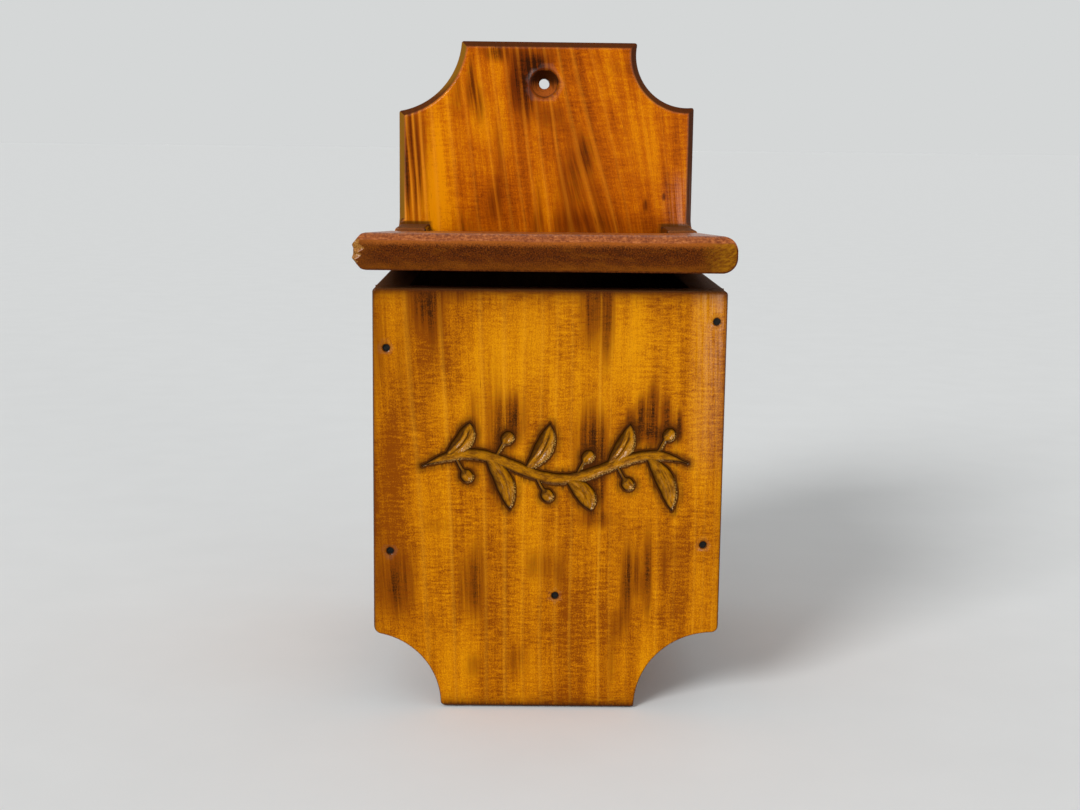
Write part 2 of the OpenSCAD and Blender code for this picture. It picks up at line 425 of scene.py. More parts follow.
def vine_strokes():
    """Gouge strokes as (points, half widths, height of a ridge left along the middle)."""
    strokes = []
    x = np.linspace(VINE_X[0], VINE_X[1], 150)
    taper = np.clip(np.minimum(x - VINE_X[0], VINE_X[1] - x) / STEM_TAPER, 0.14, 1) ** 0.7
    half = STEM_HALF * taper * (1 + 0.07 * waver(x / 3, 1))
    strokes.append((np.column_stack([x, vine_stem(x)]), half, 0))
    for k, root_x in enumerate(LEAF_ROOTS):
        up = 1 if k % 2 == 0 else -1
        root_z = vine_stem(root_x)
        reach = LEAF_REACH + 1.5 * math.sin(3 * k)
        height = LEAF_RISE - up * (root_z - VINE_Z)
        t = np.linspace(0, 1, 50)
        leaf_x = root_x + reach * (0.8 * t + 0.18 * np.sin(math.pi * t))
        leaf_z = root_z + up * height * (0.75 * t + 0.25 * t * t)
        half = LEAF_HALF * np.sin(math.pi * np.clip(t, 0.06, 0.985) ** 1.1) ** 0.75
        half = half * (1 + 0.05 * waver(9 * t, k))
        strokes.append((np.column_stack([leaf_x, leaf_z]), half, LEAF_RIDGE))
        t = np.linspace(0, 1, 26)
        bud_x = root_x + BUD_AHEAD + 5 * t + 1.5 * t * t
        bud_z = vine_stem(root_x + BUD_AHEAD) - up * (13.5 * t - 2 * t * t)
        half = STALK_HALF + BUD_SWELL * np.clip((t - 0.62) / 0.3, 0, 1) ** 1.5
        strokes.append((np.column_stack([bud_x, bud_z]), half, 0))
    return strokes


STROKES = vine_strokes()


def nearest_cut(points):
    """For each point: distance to the nearest stroke's edge, the stroke's half width there, the nearest
    point on its middle line, the height of its ridge, and the place along and across the stroke."""
    best = np.full(len(points), 1e9)
    half, ridge, along, across = (np.zeros(len(points)) for _ in range(4))
    foot = np.zeros_like(points)
    for number, (path, widths, height) in enumerate(STROKES):
        a, b = path[:-1], path[1:]
        near = (points > path.min(0) - CUT_REACH) & (points < path.max(0) + CUT_REACH)
        chosen = np.nonzero(near.all(1))[0]
        if not len(chosen):
            continue
        p = points[chosen]
        run = b - a
        length = np.linalg.norm(run, axis=1)
        t = ((p[:, None, :] - a[None]) * run[None]).sum(2) / (length ** 2)[None]
        t = np.clip(t, 0, 1)
        at = a[None] + t[..., None] * run[None]
        width = widths[:-1][None] + t * np.diff(widths)[None]
        gap = np.linalg.norm(p[:, None, :] - at, axis=2) - width
        k = gap.argmin(1)
        rows = np.arange(len(p))
        better = gap[rows, k] < best[chosen]
        chosen, rows, k = chosen[better], rows[better], k[better]
        best[chosen] = gap[rows, k]
        half[chosen] = width[rows, k]
        foot[chosen] = at[rows, k]
        ridge[chosen] = height
        off = p[rows] - at[rows, k]
        across[chosen] = (run[k, 0] * off[:, 1] - run[k, 1] * off[:, 0]) / length[k]
        along[chosen] = 40 * number + (np.cumsum(length) - length)[k] + t[rows, k] * length[k]
    return best, half, foot, ridge, along, across


def carve(points):
    """The face's points with the vine's grooves cut into them."""
    fine = lattice((VINE_X[0] - 4, VINE_Z - VINE_BAND), (VINE_X[1] + 8, VINE_Z + VINE_BAND), CUT_STEP)
    gap, half, foot = nearest_cut(fine)[:3]
    near = gap < 1.2
    halo = fine[::3][(gap[::3] > 1.9) & (gap[::3] < HALO)]
    fine, gap, half, foot = fine[near], gap[near], half[near], foot[near]
    on_edge = np.abs(gap) < 0.24
    away = fine - foot
    away /= np.linalg.norm(away, axis=1)[:, None] + 1e-9
    fine[on_edge] = (foot + away * half[:, None])[on_edge]
    coarse_gap = nearest_cut(points)[0]
    points = np.vstack([points[coarse_gap > HALO + 1], halo, fine])
    gap, half, _, ridge, along, across = nearest_cut(points)
    from_middle = np.clip(half + np.minimum(gap, 0), 0, None) / np.maximum(half, 0.01)
    deep = CUT_SLOPE * half * np.clip(1 - from_middle ** 2, 0, None)
    deep -= ridge * np.exp(-(across / 0.8) ** 2) * np.clip(half / 3 - 0.6, 0, 1)
    depths = np.where(gap < -0.02, np.clip(deep, 0.05, None), 0)
    groove = np.where(gap < 0, np.clip(-gap / STEM_HALF, 0, 1), np.clip(-gap / HALO, -1, 0))
    return points, depths, {"groove": groove, "along": along, "across": across}


# The front, back and side boards, and the lid

# Rounding of the boards' edges: front panel, side panels outside and inside, hidden edges
FRONT_EDGE = 2.2
SIDE_EDGE = 2.4
SIDE_INNER_EDGE = 1.6
HIDDEN_EDGE = 0.8


def upright(face_y):
    """Places the points of a board that faces forward."""
    return lambda u, v, deep: (u + MIDDLE_X, face_y + deep, v)


# Where a face starts to fall away towards its right edge, and how fast
CUP_START = 80
CUP_RATE = 0.0052


def right_cup(flat):
    """A face falls away a little towards its right edge, where hand planing thinned it."""
    return CUP_RATE * np.clip(flat[:, 0] - CUP_START, 0, None) ** 2


def nail_well(x, z):
    """The hole over a nail's set head, as board takes it."""
    rings = [(HEAD_R + 0.75, 0), (HEAD_R + 0.12, 0.32), (HEAD_R + 0.04, SET_DEPTH + 0.6)]
    return (x, z), rings, 0.06, False


# Places of the nails: over the middle of the board that each one holds, give or take the maker's hand
SIDE_X = HALF_W - BOARD / 2
BOTTOM_Z = FOOT_Z + BOARD / 2
FRONT_NAILS = (
    (-SIDE_X - 2.4, RIM_Z - 30.9), (-SIDE_X - 0.7, FOOT_Z + 33.3), (SIDE_X + 4, RIM_Z - 15.6),
    (SIDE_X + 0.1, FOOT_Z + 37.9), (4.4, BOTTOM_Z),
)
BACK_NAILS = (
    (-SIDE_X, RIM_Z - 28), (SIDE_X, RIM_Z - 28), (-SIDE_X, FOOT_Z + 45), (SIDE_X, FOOT_Z + 45),
    (0, BOTTOM_Z),
)
SIDE_NAILS = ((FRONT_Y + 35, BOTTOM_Z), (BACK_Y - 35, BOTTOM_Z))

# The hanging hole's rings from its countersink to the wall: (radius, depth)
HANGING_RINGS = [(8.6, 0), (8.0, 0.4), (7.0, 1.6), (5.2, 3.4), (3.5, 4.8), (3.25, 5.2), (3.25, BOARD)]


def make_front_panel():
    wells = [nail_well(x, z) for x, z in FRONT_NAILS]

    def ease(rim):
        return np.clip(1 - (rim[:, 1] - APRON_Z) / 5, 0.55, 1)

    return board(
        "carved_front_panel", front_outline, quarter(FRONT_EDGE, 6), quarter(HIDDEN_EDGE, 3),
        upright(FACE_Y), holes=wells, ease=ease, relief=carve, cup=right_cup,
    )


def make_back_board():
    wells = [nail_well(x, z) for x, z in BACK_NAILS]

    def ease(rim):
        return np.clip((rim[:, 1] - EAR_TOP) / 3, 0.1, 1)

    return board(
        "scalloped_back_board", back_outline, chamfer(BEVEL), quarter(HIDDEN_EDGE, 3), upright(BACK_Y),
        holes=[((-MIDDLE_X, 0), HANGING_RINGS, 0.09, True)], back_holes=wells, ease=ease, cup=right_cup,
    )


def make_side_panel(side):
    """The side is -1 for the left panel and 1 for the right one; its face is the outer one."""
    face_x = MIDDLE_X + side * HALF_W

    def place(u, v, deep):
        return (face_x - side * deep, u, v)

    def ease(rim):
        at_end = np.minimum(rim[:, 0] - FRONT_Y, BACK_Y - rim[:, 0]) < 0.5
        return np.where(at_end, 0.08, np.where(rim[:, 1] > RIM_Z + 3, 1.0, 0.5))

    hinge = ((HINGE_Y, HINGE_Z), [(HINGE_HEAD_R + 0.1, 0), (HINGE_HEAD_R + 0.04, 1.5)], 0.02, False)
    wells = [nail_well(y, z) for y, z in SIDE_NAILS]
    name = "left_side_board" if side < 0 else "right_side_board"
    return board(
        name, side_outline, quarter(SIDE_EDGE, 5), quarter(SIDE_INNER_EDGE, 4), place,
        holes=[hinge] + wells, ease=ease,
    )


def lid_end(side):
    """Half of the lid's section beyond the tongue, from the top round the end to the bottom."""
    end = LID_RIGHT if side > 0 else -LID_LEFT
    half = BOARD / 2
    top = [(x, half) for x in np.linspace(TONGUE_HALF, end - END_ROUND, 5)[:-1]]
    upper = [
        (end - END_ROUND + END_ROUND * math.sin(a), half - END_ROUND + END_ROUND * math.cos(a))
        for a in np.linspace(0, math.pi / 2, END_STEPS)
    ]
    lower = [(x, -z) for x, z in reversed(upper)]
    bottom = [(x, -z) for x, z in reversed(top)]
    path = np.array(top + upper + lower + bottom)
    return path * (side, 1)


# Splits broken from the lid's left front corner:
# length along the front, height, depth, slope above and slope below
LID_CHIPS = (
    (7.0, 1.6, 2.6, 0.5, 0.7),
    (5.6, -1.8, 2.0, 0.6, 0.55),
    (3.4, -5.2, 2.6, 1.1, 0.9),
    (5.4, 5.4, 1.3, 0.4, 0.5),
)


def worn_end(x, back_off, z):
    """The lid's left end, knocked off at its two corners and bitten between them near the front."""
    size = np.abs(z)
    corner = 0.2 + 0.82 * np.clip(size - 3.4, 0, None)
    bite = 1.3 * np.clip(1 - size / 3.4, 0, 1) ** 1.2
    worn = (corner + bite) * np.clip((60 - back_off) / 44, 0, 1)
    return np.maximum(x, LID_LEFT + worn)


def chipped(x, back_off, z):
    """How far behind the front face a point lies once the chips are gone, and how chipped it is."""
    inward = x - LID_LEFT
    cut = np.full(len(x), -9.0)
    for length, height, depth, above, below in LID_CHIPS:
        slope = above * np.clip(z - height, 0, None) + below * np.clip(height - z, 0, None)
        cut = np.maximum(cut, depth * (1 - inward / length) - slope)
    back = np.maximum(back_off, cut + 0.05 * back_off)
    return back, np.clip((back - back_off) / 0.25, 0, 1)


def lid_section():
    """The lid's section across the box, its outward directions, and which points lie beyond the tongue."""
    half = BOARD / 2
    right, left = lid_end(1), lid_end(-1)[::-1]
    across = np.linspace(-TONGUE_HALF, TONGUE_HALF, 61)[1:-1]
    bottom = np.column_stack([across[::-1], np.full(len(across), -half)])
    top = np.column_stack([across, np.full(len(across), half)])
    section = np.vstack([right, bottom, left, top])
    ahead = np.roll(section, -1, 0) - np.roll(section, 1, 0)
    outward = np.column_stack([-ahead[:, 1], ahead[:, 0]]) / np.linalg.norm(ahead, axis=1)[:, None]
    on_end = np.zeros(len(section), bool)
    on_end[1:len(right) - 1] = True
    first_left = len(right) + len(bottom)
    on_end[first_left + 1:first_left + len(left) - 1] = True
    return section, outward, on_end


def make_lid():
    """The lid, lofted from its front face back to its tongue, then turned ajar about its hinge line."""
    half = BOARD / 2
    shell = Shell()
    section, outward, on_end = lid_section()

    def front_station(back_off):
        """The section at a distance behind the front face."""
        shrink = LID_EASE - math.sqrt(max(LID_EASE ** 2 - max(LID_EASE - back_off, 0) ** 2, 0))
        flat = section - outward * shrink
        x, z = flat[:, 0], flat[:, 1]
        round_r = FRONT_ROUND * (1 + 0.10 * waver(x / 9, 2))
        into = np.clip(round_r - back_off, 0, None)
        limit = half - round_r + np.sqrt(np.clip(round_r ** 2 - into ** 2, 0, None))
        z = np.minimum(z, limit)
        back, chip = chipped(x, back_off, z)
        return np.column_stack([worn_end(x, back, z), back - LID_REACH, z]), chip

    rings = []
    for back_off in LID_STATIONS:
        points, chip = front_station(back_off)
        rings.append(shell.add(points, groove=chip * 2 - 1))
    shell.loft(rings)
    outline = np.array([shell.points[v] for v in rings[0]])[:, [0, 2]]
    broad = lattice((LID_LEFT + CHIP_REACH, -half), (LID_RIGHT, half), FACE_STEP)
    close = lattice((LID_LEFT, -half), (LID_LEFT + CHIP_REACH, half), CHIP_STEP)
    for spots, room in ((broad, 1.5), (close, 0.35)):
        spots = spots[inside(spots, outline) & clear_of(spots, outline, room)]
        back, chip = chipped(spots[:, 0], 0, spots[:, 1])
        points = np.column_stack([spots[:, 0], back - LID_REACH, spots[:, 1]])
        rings.append(shell.add(points, groove=chip * 2 - 1))
    flat = {v: (shell.points[v][0], shell.points[v][2]) for v in rings[0] + rings[-2] + rings[-1]}
    shell.fill(flat, [rings[0]], rings.pop() + rings.pop())

    def tongue_station(y):
        limit = half if y <= 0 else min(half, math.sqrt(TONGUE_ROUND ** 2 - y * y))
        flat = section.copy()
        flat[on_end, 0] = np.sign(flat[on_end, 0]) * TONGUE_HALF
        return np.column_stack([flat[:, 0], np.full(len(flat), y), np.minimum(flat[:, 1], limit)])

    first = tongue_station(-SHOULDER)
    ring = list(rings[-1])
    fresh = shell.add(first[on_end])
    for k, v in zip(np.nonzero(on_end)[0], fresh):
        ring[k] = v
    shell.join(rings[-1], ring)
    for y in TONGUE_STATIONS:
        after = shell.add(tongue_station(y))
        shell.join(ring, after)
        ring = after
    shell.faces.append(ring)

    cos, sin = math.cos(-LID_AJAR), math.sin(-LID_AJAR)

    def place(x, y, z):
        middle = np.clip(-y / 60, 0, 1) * np.clip((LID_REACH + y) / 120, 0, 1)
        z = z + LID_WARP * np.clip(x / 95, 0, 1) ** 2 * middle
        return (x + MIDDLE_X, HINGE_Y + y * cos - z * sin, HINGE_Z + y * sin + z * cos)

    return shell.build("hinged_lid", place)


# Finishes

def paint(red, green, blue):
    """A colour as a painter's chart gives it, 0 to 255, for a socket."""
    shares = [level / 255 for level in (red, green, blue)]
    return tuple(c / 12.92 if c <= 0.04 else ((c + 0.055) / 1.055) ** 2.4 for c in shares) + (1,)


class Tone:
    """A value in a material. Sums on it add the nodes that work them out."""

    def __init__(self, nodes, socket):
        self.nodes, self.socket = nodes, socket

    def maths(self, operation, *terms):
        return self.nodes.node("ShaderNodeMath", {"operation": operation}, terms)

    def __add__(self, other):
        return self.maths("ADD", self, other)

    def __sub__(self, other):
        return self.maths("SUBTRACT", self, other)

    def __rsub__(self, other):
        return self.maths("SUBTRACT", other, self)

    def __mul__(self, other):
        return self.maths("MULTIPLY", self, other)

    def __truediv__(self, other):
        return self.maths("DIVIDE", self, other)

    def __pow__(self, other):
        return self.maths("POWER", self, other)

    __radd__ = __add__
    __rmul__ = __mul__

    def size(self):
        return self.maths("ABSOLUTE", self)

    def most(self, other):
        return self.maths("MAXIMUM", self, other)

    def least(self, other):
        return self.maths("MINIMUM", self, other)

    def fading(self):
        """1 at nothing, fading away as the value grows."""
        return self.maths("EXPONENT", self * -1)

    def raised(self):
        """The exponential of the value."""
        return self.maths("EXPONENT", self)

    def part(self):
        return self.maths("FRACT", self)

    def between(self, low, high, to_low=0.0, to_high=1.0):
        """Rises smoothly from to_low at low to to_high at high, and stays there beyond them."""
        settings = {"interpolation_type": "SMOOTHSTEP"}
        return self.nodes.node("ShaderNodeMapRange", settings, (self, low, high, to_low, to_high))


class Nodes:
    """The nodes of a material or of the room."""

    def __init__(self, tree):
        self.tree = tree

    def node(self, kind, settings=None, inputs=(), output=0):
        """Adds a node: its settings first, then its inputs' values or links."""
        node = self.tree.nodes.new(kind)
        for key, value in (settings or {}).items():
            if key == "stops":
                ramp = node.color_ramp
                while len(ramp.elements) < len(value):
                    ramp.elements.new(1)
                for element, (at, colour) in zip(ramp.elements, value):
                    element.position, element.color = at, colour
            else:
                setattr(node, key, value)
        for key, value in inputs.items() if isinstance(inputs, dict) else enumerate(inputs):
            if isinstance(value, Tone):
                self.tree.links.new(value.socket, node.inputs[key])
            else:
                node.inputs[key].default_value = value
        return Tone(self, node.outputs[output])

    def mix(self, share, a, b):
        """Colour a turning into colour b as share goes from 0 to 1."""
        return self.node("ShaderNodeMix", {"data_type": "RGBA"}, {0: share, 6: a, 7: b}, 2)


class Finish(Nodes):
    """One material, with the places on the object in millimetres."""

    def __init__(self, name):
        self.material = bpy.data.materials.new(name)
        self.material.use_nodes = True
        super().__init__(self.material.node_tree)
        self.tree.nodes.clear()
        where = self.node("ShaderNodeTexCoord", output="Object")
        where = self.node("ShaderNodeVectorMath", {"operation": "SCALE"}, {0: where, "Scale": 1 / MM})
        self.x, self.y, self.z = (self.node("ShaderNodeSeparateXYZ", {}, (where,), k) for k in range(3))

    def noise(self, across, along, through, detail=2.0, rough=0.5):
        place = self.node("ShaderNodeCombineXYZ", {}, (across, along, through))
        inputs = {"Vector": place, "Scale": 1.0, "Detail": detail, "Roughness": rough}
        return self.node("ShaderNodeTexNoise", {}, inputs)

    def facing(self, axis):
        """One part of the surface's direction: 0 for x, 1 for y, 2 for z."""
        normal = self.node("ShaderNodeTexCoord", output="Normal")
        return self.node("ShaderNodeSeparateXYZ", {}, (normal,), axis)

    def upward(self):
        """1 where the surface faces up."""
        return self.facing(2).between(0.5, 0.9)

    def mark(self, name):
        """A tone kept on the mesh."""
        return self.node("ShaderNodeAttribute", {"attribute_name": name}, output="Fac")

    def bump(self, height, strength, distance):
        inputs = {"Height": height, "Strength": strength, "Distance": distance}
        return self.node("ShaderNodeBump", {}, inputs)

    def varnish(self, **sockets):
        """The closing shader, with its sockets given by name."""
        inputs = {key.replace("_", " "): value for key, value in sockets.items()}
        shader = self.node("ShaderNodeBsdfPrincipled", {}, inputs)
        end = self.tree.nodes.new("ShaderNodeOutputMaterial")
        self.tree.links.new(shader.socket, end.inputs["Surface"])
        return self.material


def pale_lines(bent, places):
    """Soft pale rings that took less stain, each with a darker flank: (place, half width, strength)."""
    pale, flank = 0.0, 0.0
    for place, half, strength in places:
        off = bent - place
        pale = off.size().between(0.2 * half, 2.2 * half, strength, 0).most(pale)
        flank = (off / (2.5 * half)).between(0, 1, strength, 0) * off.between(0, 0.6 * half) + flank
    return pale, flank


def patches(across, along, places):
    """Soft patches: (across, along, half width, half height, strength)."""
    total = 0.0
    for place_a, place_b, half_a, half_b, strength in places:
        off_a = (across - place_a) / half_a
        off_b = (along - place_b) / half_b
        total = (off_a * off_a + off_b * off_b * (off_b * off_b * 0.3 + 0.7)).fading() * strength + total
    return total


class Pine:
    """Stained, scorched and varnished pine, with the axes across, along and through its grain."""

    def __init__(self, name, axes, golds, lines, burns, glows, lean=None, ripple=1.0, line=1.0, seed=0.0):
        f = self.finish = Finish(name)
        places = {"x": f.x - MIDDLE_X, "y": f.y, "z": f.z}
        a, b, c = (places[axis] for axis in axes)
        deep, mid, light, pale_gold, toasted, charred = golds
        bent = lean(a, b) if lean else a
        bent = bent + f.noise(a * 0.02, b * 0.012, c * 0.02 + seed, 1.0) * 3 - 1.5
        band = f.noise(bent * 0.11, b * 0.005, c * 0.1 + seed, 2.0, 0.55)
        streak = f.noise(bent * 0.8, b * 0.02, c * 0.7 + seed, 3.0, 0.6)
        cloud = f.noise(a * 0.035, b * 0.022, c * 0.04 + seed, 2.0, 0.5)
        fibre = f.noise(bent * 2.6, b * 0.16, c * 2.6 + seed, 2.0, 0.7)
        ripples = f.noise(a * 0.13 + band, b * 0.7 + streak * 0.7, c * 0.25 + seed, 2.5, 0.65)
        pores = f.noise(a * 1.7, b * 1.2, c * 1.6 + seed, 2.0, 0.75)
        pale, flank = pale_lines(bent, lines)
        pale = pale * streak.between(0.15, 0.6, 0.45, 1) * line
        chatter = (ripples - 0.5) * cloud.between(0.35, 0.65, 1.25, 0.5) * ripple
        grainy = chatter + (fibre - 0.5) * 0.45 + (pores - 0.5) * 1.25 * ripple
        tone = band.between(0.25, 0.75) * 0.4 + streak.between(0.25, 0.75) * 0.2
        tone = tone + cloud.between(0.3, 0.7) * 0.36
        tone = tone + grainy * 1.25 - flank * line * 0.36 + patches(a, b, glows)
        colour = f.node("ShaderNodeValToRGB", {"stops": [(0.0, deep), (0.5, mid), (1.0, light)]}, (tone,))
        colour = f.mix(pale * 0.62, colour, pale_gold)
        spikes = f.noise(bent * 0.5, b * 0.014, c * 0.3 + seed + 3, 3.0, 0.7)
        burn = patches(bent if lean is None else a, b, burns) * (1 - pale * 0.8)
        burn = burn * (spikes.between(0.3, 0.7, 0.5, 1.3) + grainy * 1.5)
        colour = f.mix(burn.between(0.02, 0.75) * 0.86, colour, toasted)
        colour = f.mix(burn.between(0.55, 1.35) * 0.92, colour, charred)
        canal = f.noise(bent * 1.9, b * 0.09, c * 2 + seed + 7, 1.0).between(0.7, 0.76)
        self.colour = f.mix(canal * 0.55, colour, toasted)
        self.a, self.b, self.c = a, b, c
        self.grainy, self.pale, self.streak, self.pores = grainy, pale, streak, pores

    def darken(self, share, colour):
        self.colour = self.finish.mix(share, self.colour, colour)

    def end_grain(self, share):
        """Turns what faces up into end grain, and returns where that is."""
        upward = self.finish.upward()
        grain = self.pores.between(0.35, 0.65) * 0.6 + self.streak * 0.3
        self.darken(upward * share, self.finish.mix(grain, END_GRAIN, END_PALE))
        return upward


# Golds: deep, middle, light, pale ring, toasted and charred
GOLDS_FRONT = (
    paint(128, 62, 0), paint(180, 105, 0), paint(212, 138, 2), paint(220, 150, 26), paint(110, 50, 0),
    paint(44, 19, 1),
)
GOLDS_BACK = (
    paint(122, 48, 0), paint(182, 89, 0), paint(226, 138, 0), paint(228, 142, 26), paint(96, 36, 0),
    paint(40, 15, 1),
)

EDGE_BROWN = paint(62, 28, 6)
EDGE_TAN = paint(122, 64, 18)
END_GRAIN = paint(70, 36, 12)
END_PALE = paint(124, 80, 46)
# Painted shade: a near-black brown put on the inside faces of the box, where only shade falls
INSIDE_PAINTED_SHADE = paint(40, 22, 10)
VARNISH_LEVEL = 0.04

# Pale rings are (place across, half width, strength).
# Burns and glows are (across, along, half width, half height, strength).
FRONT_LINES = (
    (-75.6, 1.2, 0.7), (-57.5, 0.9, 0.9), (-36.3, 1.0, 0.7), (-24.4, 1.0, 0.8), (-14, 0.8, 0.5),
    (-4.7, 0.8, 0.6), (3.1, 0.7, 0.5), (10.9, 0.6, 0.6), (25.9, 0.6, 0.9), (31.6, 0.45, 0.5),
    (41, 0.5, 0.25), (57, 0.6, 0.35), (66, 0.5, 0.3), (76.7, 0.5, 0.6), (81.5, 0.5, 0.5), (87, 0.4, 0.5),
)
FRONT_BURNS = (
    (-66, -113, 7, 19, 1.15), (-59, -118, 4.5, 30, 0.6), (-46, -112, 8, 7, 0.55),
    (20.5, -112, 5, 27, 0.85), (29.5, -114, 4, 34, 0.8), (-27, -196, 6, 26, 0.85),
    (-18, -178, 6, 13, 0.9), (-40, -190, 4, 24, 0.5), (21, -198, 7, 26, 1.0), (27, -205, 4, 26, 0.8),
    (42.5, -180, 2.4, 8, 1.0), (48, -177, 2.6, 11, 1.1), (54.4, -176, 3, 16, 1.25),
    (61.6, -177, 2.6, 11, 1.1), (68, -180, 2.4, 8, 0.9), (55, -186, 15, 5, 0.55), (-58, -236, 10, 5, 0.3),
    (25, -232, 12, 5, 0.5), (-79, -267, 9, 19, 0.85), (-86, -240, 5, 40, 0.3), (-40.5, -267, 8, 20, 0.6),
    (-36, -262, 3, 26, 0.3), (-4, -257, 9, 10, 0.45), (8, -262, 5, 14, 0.35), (-39, -313, 5, 8, 0.45),
    (-15, -310, 6, 10, 0.45), (42.4, -265, 3, 19, 1.0), (47.8, -262, 2.6, 14, 0.8),
    (53.4, -260, 2.4, 23, 1.1), (62.5, -255, 2.4, 14, 0.5), (68.4, -250, 3, 9, 0.35),
    (39, -289, 6, 10, 0.45), (34, -312, 5, 15, 0.35), (-88, -138, 4, 26, 0.45), (-76, -150, 5, 34, 0.25),
    (-30, -160, 9, 20, 0.2),
)
FRONT_GLOWS = (
    (-84, -122, 9, 16, 0.2), (-8, -148, 30, 22, 0.16), (56, -138, 24, 28, 0.26), (70, -205, 9, 30, 0.12),
    (-60, -205, 10, 30, 0.1), (0, -305, 80, 44, -0.08), (75, -290, 20, 60, -0.22),
    (-84, -220, 14, 90, -0.3), (-66, -128, 22, 26, -0.26), (-46, -162, 12, 20, 0.1),
)
BACK_LINES = (
    (-95.2, 0.7, 1.4), (-90.2, 0.7, 1.5), (-86.4, 0.7, 1.5), (-82.3, 0.7, 1.4), (-75.5, 0.8, 0.9),
    (-65.5, 0.8, 0.6), (-55.5, 0.8, 0.4), (-43.7, 0.8, 0.5), (-35.8, 0.8, 0.5), (-27.7, 0.8, 0.5),
    (-19.7, 0.8, 0.7), (-11.8, 0.8, 0.7), (-3.1, 0.7, 0.7), (5.5, 0.8, 0.7), (13.5, 1.0, 0.6),
    (24.6, 0.9, 0.4), (36, 0.7, 0.2), (52, 0.7, 0.2), (66, 0.6, 0.3),
)
BACK_BURNS = (
    (-13, -2, 6, 18, 1.1), (-5.5, 9, 6, 7, 1.2), (-20, 0, 4, 15, 0.7), (-47.5, -1, 3, 15, 0.8),
    (-42, -13, 4, 14, 0.5), (23.8, -44, 5, 12, 0.5), (22, -56, 12, 28, 0.4), (-83, -50, 10, 36, 0.75),
    (-86.4, -46, 2, 26, 0.5), (-92, -72, 3, 9, 1.5), (-57, -9, 4, 15, 0.5), (-32, 19, 7, 6, 0.7),
    (-5, -85, 3, 26, 0.4), (-50, -92, 8, 16, 0.45), (-33, -74, 6, 12, 0.35), (63, -74, 2, 4, 0.8),
    (74, -69, 1.2, 2.4, 1.0), (33, -84, 9, 20, 0.3), (2, -20, 12, 10, 0.4), (-12, 18, 22, 7, 0.4),
    (40, -88, 60, 9, 0.35), (-30, -50, 5, 30, 0.35), (12, -70, 8, 30, 0.3), (60, 10, 30, 6, 0.3),
)
BACK_GLOWS = (
    (-67, -48, 9, 46, 0.7), (-60, -84, 13, 22, 0.3), (-38, -34, 12, 34, 0.22), (48, -12, 30, 26, 0.16),
    (30, -95, 60, 16, -0.25), (-15, 5, 16, 16, -0.25), (10, -60, 22, 44, -0.1), (60, -60, 22, 30, 0.05),
)


def front_lean(a, b):
    """The rings lean to the right going down on the left of the board."""
    drop = RIM_Z - b
    return a - drop * a.between(-92, -10, 0.085, 0.010)


def back_lean(a, b):
    """The rings of the back board fan out to the right going down."""
    drop = TOP_Z - b
    first = a - drop * 0.13
    lean = first.between(-92, -45, 0.065, 0.13) + first.between(-14, 30, 0, 0.14)
    lean = lean - first.between(26, 84, 0, 0.2)
    return a - drop * lean


